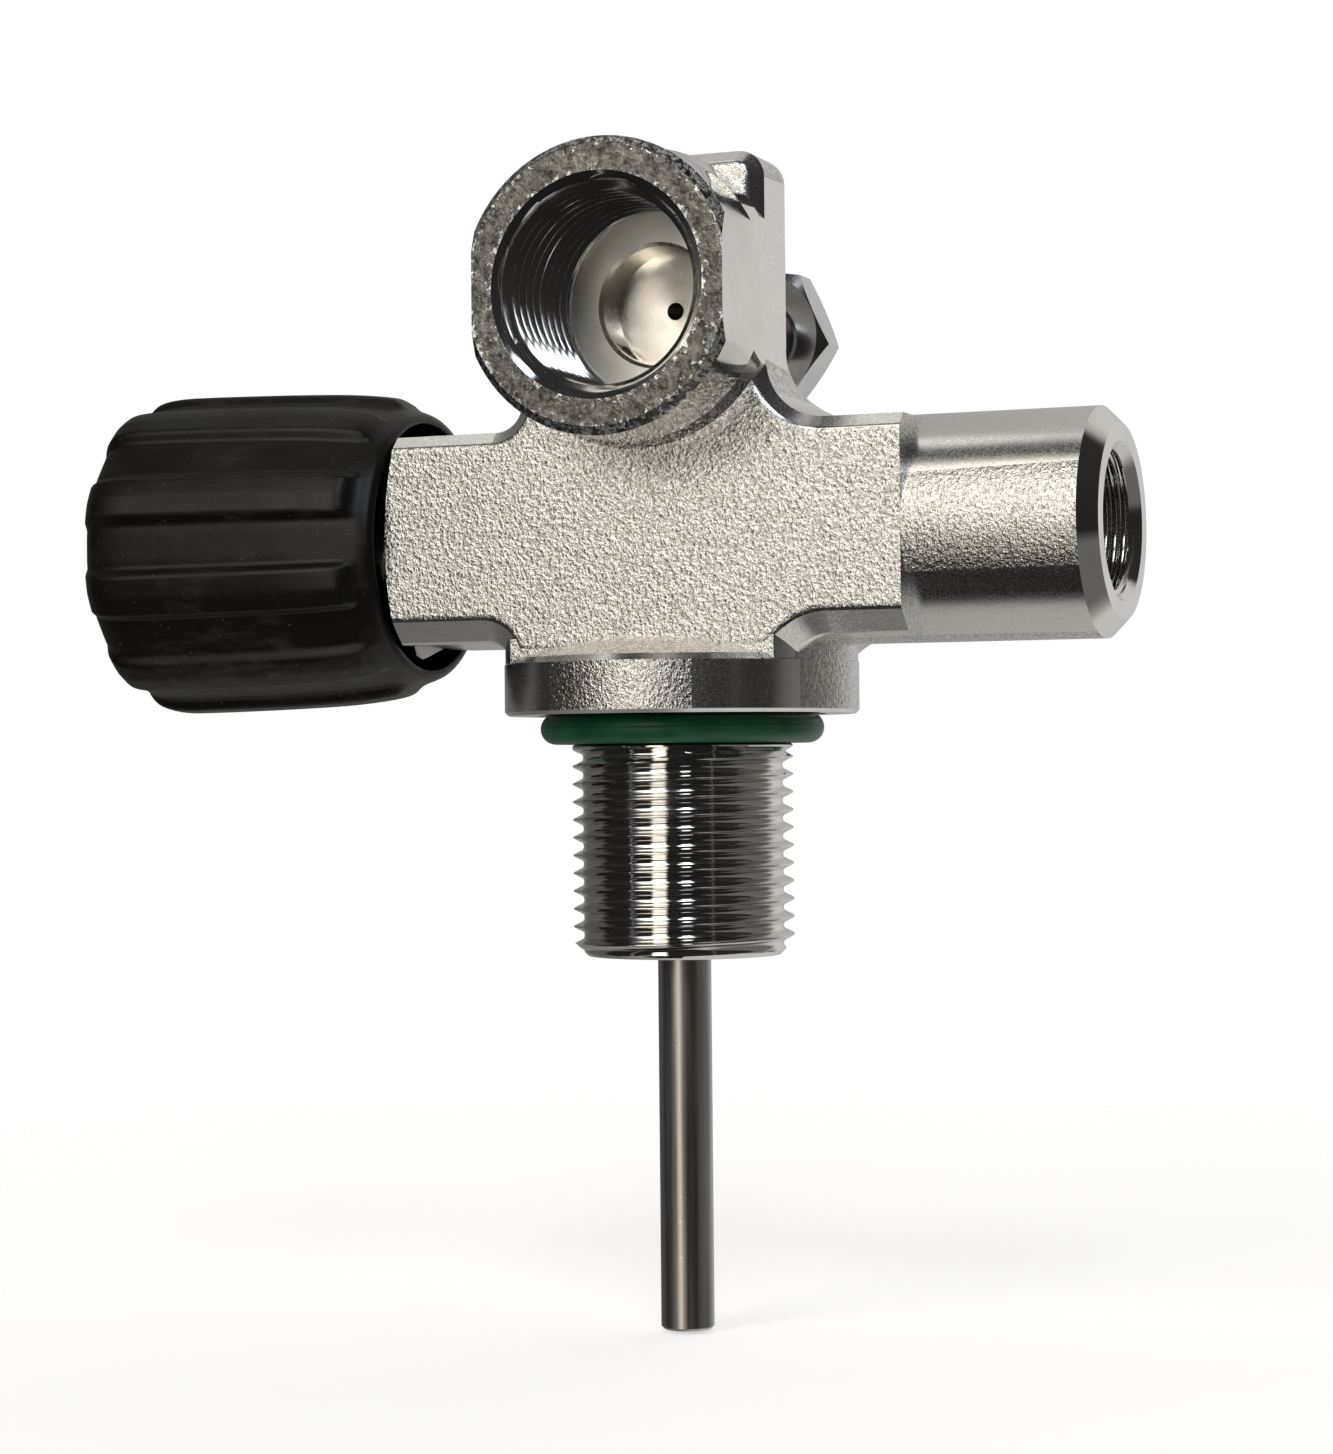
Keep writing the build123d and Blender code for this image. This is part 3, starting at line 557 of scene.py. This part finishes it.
def threaded_body(materials):
    """A copy of the body's mesh, with the rings that stand for each thread changed for a true helix."""
    source = frame["nodes"]["valve_body"].data.copy()
    kept = source.attributes.new(CAD_NORMAL, "FLOAT_VECTOR", "CORNER")
    for corner, item in zip(source.corner_normals, kept.data):
        item.vector = corner.vector
    mesh = bmesh.new()
    mesh.from_mesh(source)
    bpy.data.meshes.remove(source)
    bmesh.ops.scale(mesh, vec=(1 / MM, 1 / MM, 1 / MM), verts=mesh.verts)
    bmesh.ops.remove_doubles(mesh, verts=mesh.verts, dist=1e-3)
    bmesh.ops.dissolve_degenerate(mesh, edges=mesh.edges, dist=1e-4)
    mesh.normal_update()
    for face in mesh.faces:
        face.smooth = True
        face.material_index = BODY_FINISHES.index(body_finish(face.calc_center_median(), face.normal))
    for thread in threads():
        cut = BODY_FINISHES.index(thread.finish)
        old = [face for face in mesh.faces if thread.holds(face.calc_center_median())]
        bmesh.ops.delete(mesh, geom=old, context="FACES")
        rims = {edge.verts[side] for edge in mesh.edges if edge.is_boundary for side in (0, 1)}
        rings = helical_band(mesh, thread, cut)
        for end, ring in zip((thread.low, thread.high), rings):
            rim = [vertex for vertex in rims if abs(thread.polar(vertex.co)[0] - end) < 0.01]
            zipped(mesh, thread, rim, ring, cut)
    bmesh.ops.recalc_face_normals(mesh, faces=mesh.faces)
    for face in mesh.faces:
        face.smooth = True
    bmesh.ops.scale(mesh, vec=(MM, MM, MM), verts=mesh.verts)
    return piece_from(mesh, "valve_body_threaded", materials, sharp=32)


def piece_from(mesh, name, materials, sharp):
    """Writes a bmesh as an object, smooth apart from edges sharper than an angle in degrees."""
    data = bpy.data.meshes.new(name)
    mesh.to_mesh(data)
    mesh.free()
    for material in materials:
        data.materials.append(material)
    if "custom_normal" in data.attributes:
        data.attributes.remove(data.attributes["custom_normal"])
    data.set_sharp_from_angle(angle=radians(sharp))
    if CAD_NORMAL in data.attributes:
        kept = [item.vector.copy() for item in data.attributes[CAD_NORMAL].data]
        computed = [corner.vector.copy() for corner in data.corner_normals]
        data.attributes.remove(data.attributes[CAD_NORMAL])
        data.normals_split_custom_set([k if k.length > 0.5 else c for k, c in zip(kept, computed)])
    piece = bpy.data.objects.new(name, data)
    bpy.context.scene.collection.objects.link(piece)
    return piece


# ---------------------------------------------------------------- the grip

GRIP_OPEN = grip_high.x
GRIP_END = grip_low.x
GRIP_R = grip_high.z - ARM_Z
GRIP_RIM_R = GRIP_R - 1.5
GRIP_RECESS_R = 14.3
GRIP_LIP_R = 12.05
GRIP_LIP = 2.6
GRIP_ROWS = 360
RIB_COUNT = 10
RIB_DEG = 17.0
RIB_HEIGHT = 1.2


def rib_share(angle):
    """How far a rib stands at an angle round the wheel: 1 on its flat back, 0 in the hollow between two."""
    step = 360 / RIB_COUNT
    away = abs((degrees(angle) + step / 2) % step - step / 2)
    shoulder = 3.4
    crown = 0.02
    dip = 0.10
    rise = smoothed((RIB_DEG / 2 - away) / shoulder + 0.5)
    across = min(1.0, max(0.0, (away - RIB_DEG / 2) / (step / 2 - RIB_DEG / 2)))
    hollow = 0.5 * (1 - cos(pi * across))
    return rise * (1 - crown * away) - dip * hollow * (1 - rise)


def grip_outside():
    """(place along the arm, hollow's radius, rib's radius) down the grip, from its open end outwards."""
    hollow = GRIP_R - RIB_HEIGHT
    return [
        (GRIP_OPEN, GRIP_RIM_R - 2.6, GRIP_RIM_R - 2.6),
        (GRIP_OPEN - 0.25, GRIP_RIM_R - 2.0, GRIP_RIM_R - 2.0),
        (GRIP_OPEN - 0.9, GRIP_RIM_R - 1.65, GRIP_RIM_R - 1.65),
        (GRIP_OPEN - 1.7, GRIP_RIM_R - 1.4, GRIP_RIM_R - 1.35),
        (GRIP_OPEN - 2.4, GRIP_RIM_R - 1.25, GRIP_RIM_R - 0.9),
        (GRIP_OPEN - 3.1, GRIP_RIM_R - 1.1, GRIP_RIM_R - 0.25),
        (GRIP_OPEN - 4.2, GRIP_RIM_R - 0.95, GRIP_RIM_R + 0.2),
        (GRIP_OPEN - 7.5, GRIP_RIM_R - 0.55, GRIP_RIM_R + 0.65),
        (GRIP_OPEN - 12.0, hollow - 0.5, GRIP_R - 0.5),
        (GRIP_OPEN - 20.0, hollow - 0.2, GRIP_R - 0.2),
        (GRIP_END + 9.0, hollow, GRIP_R),
        (GRIP_END + 5.4, hollow - 0.05, GRIP_R - 0.03),
        (GRIP_END + 3.2, hollow - 0.35, GRIP_R - 0.4),
        (GRIP_END + 1.8, hollow - 1.0, GRIP_R - 1.25),
        (GRIP_END + 0.8, hollow - 2.1, GRIP_R - 2.6),
        (GRIP_END + 0.2, hollow - 3.5, GRIP_R - 4.2),
        (GRIP_END, hollow - 4.4, GRIP_R - 5.6),
    ]


def curved(points, steps):
    """Points along a smooth curve through the given ones, by Catmull-Rom spans."""
    ends = [points[0], *points, points[-1]]
    out = []
    for a, b, c, d in zip(ends, ends[1:], ends[2:], ends[3:]):
        for step in range(steps):
            t = step / steps
            weights = (
                (-t + 2 * t * t - t**3) / 2,
                (2 - 5 * t * t + 3 * t**3) / 2,
                (t + 4 * t * t - 3 * t**3) / 2,
                (t**3 - t * t) / 2,
            )
            out.append([sum(w * p[k] for w, p in zip(weights, (a, b, c, d))) for k in range(3)])
    out.append(list(points[-1]))
    return out


def grip_piece(material):
    """The ribbed grip as one closed ring: outside, end, lip round the cap and hollow for the core."""
    inner_end = GRIP_END + GRIP_LIP
    outside = curved(grip_outside(), 4)
    inside = [
        (GRIP_END, GRIP_LIP_R + 0.35),
        (GRIP_END + 0.1, GRIP_LIP_R + 0.08),
        (GRIP_END + 0.35, GRIP_LIP_R),
        (inner_end, GRIP_LIP_R),
        (inner_end, GRIP_RECESS_R - 0.1),
        (inner_end + 0.1, GRIP_RECESS_R),
        (GRIP_OPEN - 14, GRIP_RECESS_R),
        (GRIP_OPEN - 6, GRIP_RECESS_R),
        (GRIP_OPEN - 0.5, GRIP_RECESS_R),
        (GRIP_OPEN - 0.12, GRIP_RECESS_R + 0.12),
    ]
    profile = [tuple(row) for row in outside] + [(x, r, r) for x, r in inside]
    mesh = bmesh.new()
    rings = []
    for row in range(GRIP_ROWS):
        angle = tau * row / GRIP_ROWS
        share = rib_share(angle)
        ring = []
        for x, low, high in profile:
            radius = low + (high - low) * share
            y, z = -radius * sin(angle), ARM_Z + radius * cos(angle)
            ring.append(mesh.verts.new((x * MM, y * MM, z * MM)))
        rings.append(ring)
    for here, there in zip(rings, rings[1:] + rings[:1]):
        for k in range(len(profile)):
            n = (k + 1) % len(profile)
            mesh.faces.new([here[k], there[k], there[n], here[n]]).smooth = True
    bmesh.ops.recalc_face_normals(mesh, faces=mesh.faces)
    return piece_from(mesh, "handwheel_grip_moulded", [material], sharp=50)


# ---------------------------------------------------------------- dress the object

finishes = {
    "forged": blasted_chrome("forged", grain=1.25, roughness=0.24, pits=(0.50, 0.48, 0.45)),
    "machined": bright_chrome("machined", roughness=0.05),
    "satin": blasted_chrome("satin", grain=0.04, roughness=0.22, pits=(0.83, 0.81, 0.775)),
    "mouth": worn_mouth(),
    # The bore: chrome given a creamy colour brighter than the machined chrome, as painted light inside the
    # outlet.
    "bore": bright_chrome("bore", (0.94, 0.895, 0.81), 0.19),
    # The seat: rough like a lapped face, and painted near-white, well above the machined chrome's colour,
    # as painted light on the seat.
    "lapped_and_painted_bright": bright_chrome("lapped_and_painted_bright", (0.96, 0.93, 0.87), 0.36),
}
body = threaded_body([finishes[name] for name in BODY_FINISHES])
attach(body, "valve")
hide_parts("valve_body")

grip = grip_piece(grip_rubber())
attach(grip, "handwheel")
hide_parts("handwheel_grip")

turned_steel = turned_metal("turned_steel", (0.56, 0.55, 0.53), 0.22)
turned_brass = turned_metal("turned_brass", (0.78, 0.58, 0.29), 0.26)
black_seal = seal_rubber("black_seal", (0.013, 0.013, 0.013), (0.03, 0.03, 0.03))
white_nylon = hard_plastic("white_nylon", (0.78, 0.77, 0.73), (0.87, 0.86, 0.83), 0.38)
black_nylon = hard_plastic("black_nylon", (0.018, 0.018, 0.019), (0.034, 0.034, 0.036), 0.36)
ring_middle = (ring_low.z + ring_high.z) / 2

node_finishes = {
    "neck_o_ring": seal_rubber("green_seal", (0.002, 0.058, 0.021), (0.004, 0.086, 0.032), ring_middle),
    "dip_tube": drawn_steel(),
    "rear_plug": bright_chrome("plug_chrome", (0.60, 0.61, 0.60), 0.13),
    "rear_plug_gasket": turned_metal("soft_copper", (0.33, 0.21, 0.155), 0.36),
    "bonnet_nut": bright_chrome("bonnet_chrome", (0.34, 0.33, 0.315), 0.20, marks=(1.0, 0.05, 0.05)),
    "bonnet_o_ring": black_seal,
    "stem_o_ring_inner": black_seal,
    "stem_o_ring_outer": black_seal,
    "backup_ring_inner": white_nylon,
    "backup_ring_outer": white_nylon,
    "thrust_washer": white_nylon,
    "drive_spindle": turned_steel,
    "handwheel_core": black_nylon,
    "handwheel_cap": hard_plastic("cap_nylon", (0.014, 0.014, 0.015), (0.026, 0.026, 0.027), 0.30),
    "hub_washer": turned_steel,
    "hub_nut": turned_metal("nut_steel", (0.60, 0.60, 0.59), 0.20),
    "slip_washer": white_nylon,
    "handwheel_spring": turned_metal("spring_steel", (0.42, 0.41, 0.40), 0.25),
    "seat_carrier": turned_brass,
    "seat_insert": white_nylon,
    "seat_retaining_ring": turned_brass,
}
for node, material in node_finishes.items():
    data = frame["nodes"][node].data
    data.materials.clear()
    data.materials.append(material)


# ---------------------------------------------------------------- studio

FLOOR_CLEARANCE = 0.4
FLOOR_R = 600.0
FLOOR_SOLID_R = 70.0
FLOOR_GONE_R = 300.0
TOP_PATCH = (-0.374, 0.012, 0.927)

# A soft-edged patch of light on the dome, in degrees. Azimuth 0 is in front of the outlet, at -Y, and grows
# towards +X.
Panel = namedtuple("Panel", "azimuth elevation half_width half_height soft colour strength")

WARM = (1.0, 0.955, 0.88)
COOL = (0.86, 0.92, 1.0)
NEUTRAL = (1.0, 0.985, 0.965)

PANELS = [
    Panel(-7, 6, 8, 36, 5, WARM, 1.9),
    Panel(-24, 34, 11, 26, 12, WARM, 2.1),
    Panel(24, 26, 5, 8, 4, COOL, 4.5),
    Panel(23, 49, 10, 9, 6, COOL, 4.5),
    Panel(-42, 0, 1.0, 60, 2, NEUTRAL, 0.35),
    Panel(56, 0, 1.0, 60, 2, NEUTRAL, 0.12),
]


class World(NodeTree):
    """The dome's node tree."""

    easing = "SMOOTHSTEP"

    def __init__(self):
        world = bpy.data.worlds.new("studio")
        bpy.context.scene.world = world
        world.use_nodes = True
        world.node_tree.nodes.clear()
        super().__init__(world.node_tree)

    def within(self, value, middle, half, soft):
        """1 inside middle +- half, falling to 0 over a soft edge."""
        away = self.maths("ABSOLUTE", self.maths("SUBTRACT", value, middle))
        return self.spread(away, half - soft / 2, half + soft / 2, 1.0, 0.0)

    def coloured(self, colour, amount):
        return self.add("ShaderNodeVectorMath", {0: colour, "Scale": amount}, operation="SCALE")


def studio_dome():
    """A pale sheet behind the object, a dim room in front of it and the panels; white to the camera."""
    dome = World()
    direction = dome.add("ShaderNodeTexCoord", {})
    x, y, z = (dome.axis(direction, index) for index in range(3))
    azimuth = dome.maths("DEGREES", dome.maths("ARCTAN2", x, dome.maths("MULTIPLY", y, -1)))
    elevation = dome.maths("DEGREES", dome.maths("ARCSINE", z))
    shaded = dome.maths("MULTIPLY", dome.maths("MAXIMUM", x, 0.0), z)
    behind = dome.spread(dome.maths("SUBTRACT", y, shaded), -0.16, 0.06)
    rising = dome.spread(x, -0.9, 0.3, 0.10, 0.66)
    sheet = dome.maths("SUBTRACT", rising, dome.spread(x, 0.42, 0.70, 0.0, 0.52))
    lit = dome.maths("MULTIPLY", behind, sheet)
    room = dome.spread(z, -1.0, 1.0, 0.012, 0.03)
    light = dome.coloured(NEUTRAL, dome.maths("ADD", lit, room))
    for panel in PANELS:
        wide = dome.within(azimuth, panel.azimuth, panel.half_width, panel.soft)
        tall = dome.within(elevation, panel.elevation, panel.half_height, panel.soft)
        amount = dome.maths("MULTIPLY", dome.maths("MULTIPLY", wide, tall), panel.strength)
        light = dome.vectors("ADD", light, dome.coloured(panel.colour, amount))
    top = dome.vectors("DOT_PRODUCT", direction, TOP_PATCH, output=1)
    light = dome.vectors("ADD", light, dome.coloured(NEUTRAL, dome.spread(top, 0.985, 0.9985, 0.0, 0.9)))
    seen = dome.add("ShaderNodeLightPath", {})
    lighting = dome.add("ShaderNodeBackground", {"Color": light, "Strength": 1.0})
    backdrop = dome.add("ShaderNodeBackground", {"Color": (1.0, 1.0, 1.0, 1.0), "Strength": 1.0})
    mixed = dome.add("ShaderNodeMixShader", {0: seen, 1: lighting, 2: backdrop})
    end = dome.nodes.new("ShaderNodeOutputWorld")
    dome.links.new(mixed, end.inputs["Surface"])


def floor_piece():
    """A pale, faintly glowing round floor under the dip tube, which thins out into the white."""
    mesh = bmesh.new()
    bmesh.ops.create_circle(mesh, cap_ends=True, segments=96, radius=FLOOR_R * MM)
    data = bpy.data.meshes.new("floor")
    mesh.to_mesh(data)
    mesh.free()
    floor = bpy.data.objects.new("floor", data)
    bpy.context.scene.collection.objects.link(floor)
    floor.location.z = (tube_low.z - FLOOR_CLEARANCE) * MM
    finish = Finish("pale_floor", (0.86, 0.855, 0.845), 0.85)
    grain = finish.noise(900, detail=3.0)
    finish.put("Base Color", finish.blend(grain, (0.84, 0.835, 0.825), (0.89, 0.885, 0.875)))
    finish.bump(grain, 0.02, 0.3)
    away = finish.vectors("LENGTH", finish.place, output=1)
    finish.put("Alpha", finish.spread(away, FLOOR_SOLID_R * MM, FLOOR_GONE_R * MM, 1.0, 0.0))
    finish.put("Emission Color", (1.0, 0.995, 0.985, 1.0))
    finish.put("Emission Strength", 0.62)
    data.materials.append(finish.material)
    floor.visible_glossy = False
    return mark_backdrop(floor)


studio_dome()
floor_piece()

# ---------------------------------------------------------------- camera

CAMERA_AZIMUTH = 21.966
CAMERA_ELEVATION = -0.686
CAMERA_ROLL = -0.538
CAMERA_DISTANCE = 368.635
CAMERA_TARGET = Vector((-1.938, 0.0, -1.336))
CAMERA_LENS = 80.70


def photo_camera():
    azimuth, elevation = radians(CAMERA_AZIMUTH), radians(CAMERA_ELEVATION)
    back = Vector((sin(azimuth) * cos(elevation), -cos(azimuth) * cos(elevation), sin(elevation)))
    right = (-back).cross(Vector((0, 0, 1))).normalized()
    up = right.cross(-back)
    roll = radians(CAMERA_ROLL)
    axes = (cos(roll) * right + sin(roll) * up, cos(roll) * up - sin(roll) * right, back)
    data = bpy.data.cameras.new("camera")
    data.lens = CAMERA_LENS
    data.clip_start = 0.01
    camera = bpy.data.objects.new("camera", data)
    bpy.context.scene.collection.objects.link(camera)
    place = (CAMERA_TARGET + back * CAMERA_DISTANCE) * MM
    camera.matrix_world = Matrix.Translation(place) @ Matrix(axes).transposed().to_4x4()
    bpy.context.scene.camera = camera


photo_camera()
bpy.context.scene.view_settings.view_transform = "Standard"
